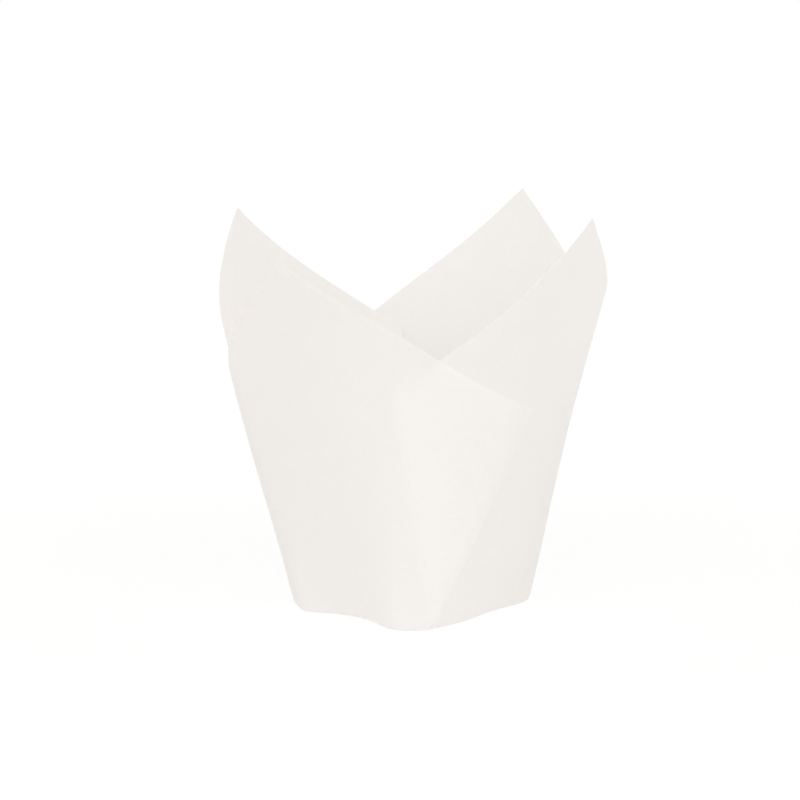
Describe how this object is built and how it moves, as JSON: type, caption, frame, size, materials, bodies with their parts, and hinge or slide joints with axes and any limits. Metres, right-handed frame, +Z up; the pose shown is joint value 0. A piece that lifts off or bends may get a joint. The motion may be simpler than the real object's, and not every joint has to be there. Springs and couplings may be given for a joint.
{
  "type": "paper baking cup",
  "caption": "Tulip baking cup: one sheet of plain pale paper folded up into a round wall with pointed panels and lapped tucks on a flat squarish base.",
  "frame": {"origin": "centre of the flat underside of the base, which rests on the table", "axes": "+Z up out of the mouth; -Y towards the front tuck, +X to the right of it"},
  "size_m": [0.08, 0.0813, 0.0867],
  "materials": {
    "greaseproof_paper": "matte"
  },
  "bodies": {
    "root": {"folded_sheet": "greaseproof_paper"}
  },
  "joints": []
}
